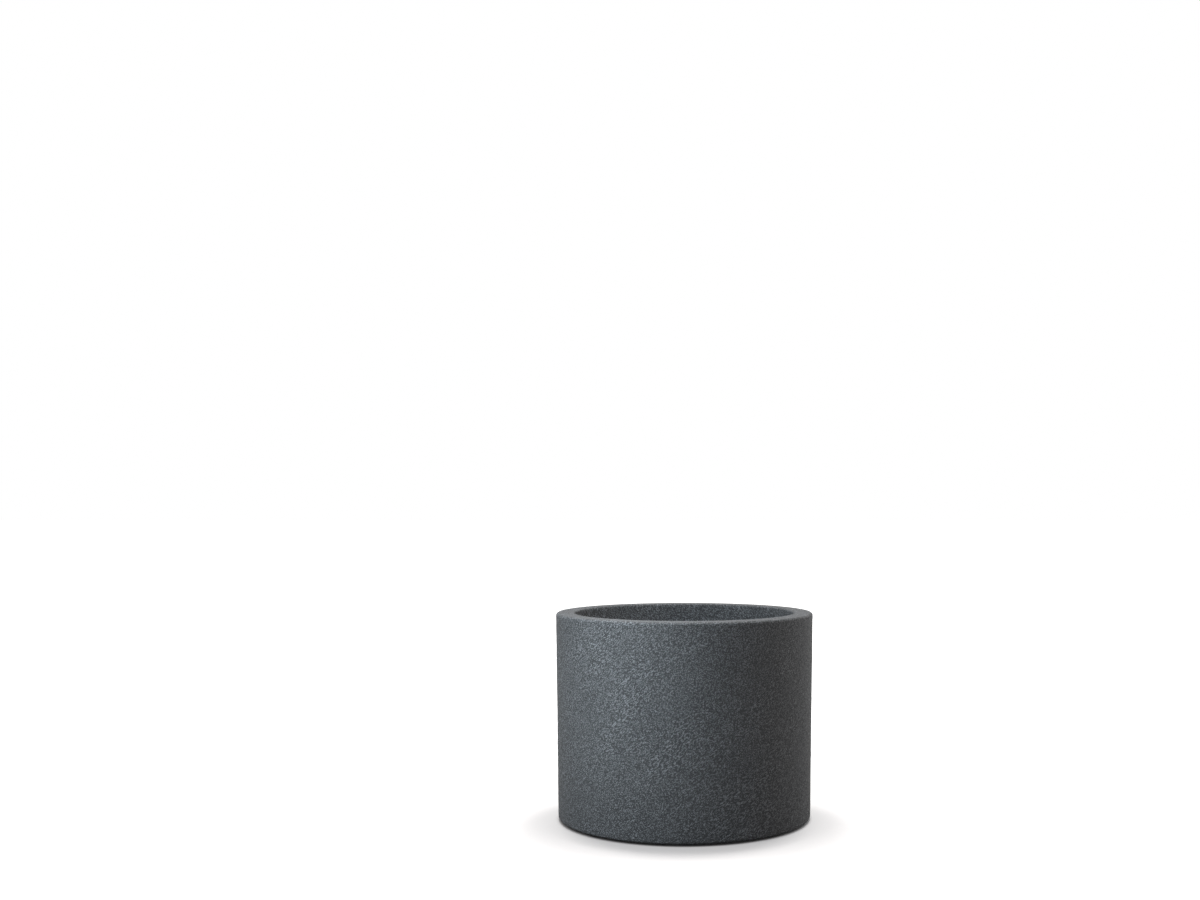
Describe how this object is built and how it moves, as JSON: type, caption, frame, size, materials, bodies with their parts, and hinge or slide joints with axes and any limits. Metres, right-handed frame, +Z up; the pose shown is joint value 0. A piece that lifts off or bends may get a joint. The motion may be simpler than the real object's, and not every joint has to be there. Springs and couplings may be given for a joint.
{
  "type": "round planter",
  "caption": "Round double-walled plastic planter with a thick flat rim, slightly tapered stone-textured wall, soft feet and a pull-out drain plug in its floor.",
  "frame": {"origin": "centre of the round footprint, on the surface that the foot pads stand on", "axes": "+Z up along the planter's axis; the planter is the same all round, its front is taken as -Y and the vent plug under the base is at +Y; the drain plug's grip bar lies along X"},
  "size_m": [0.3, 0.3, 0.24],
  "materials": {
    "moulded_wall": "matt anthracite polyethylene with a fine sandy stone texture",
    "bush_plastic": "satin moulded black-grey",
    "plug_plastic": "satin moulded dark grey",
    "vent_plastic": "satin moulded black-grey",
    "seal_rubber": "smooth black",
    "foot_rubber": "matt black"
  },
  "bodies": {
    "planter": {"planter_body": "moulded_wall", "drain_bush": "bush_plastic", "bush_gasket": "seal_rubber", "vent_plug": "vent_plastic", "foot_pad_1": "foot_rubber", "foot_pad_2": "foot_rubber", "foot_pad_3": "foot_rubber", "foot_pad_4": "foot_rubber"},
    "plug": {"drain_plug": "plug_plastic", "plug_o_ring": "seal_rubber"}
  },
  "joints": [
    {"name": "plug_lift", "type": "slide", "parent": "planter", "child": "plug", "axis": [0, 0, 1], "range_m": [0, 0.25]}
  ]
}
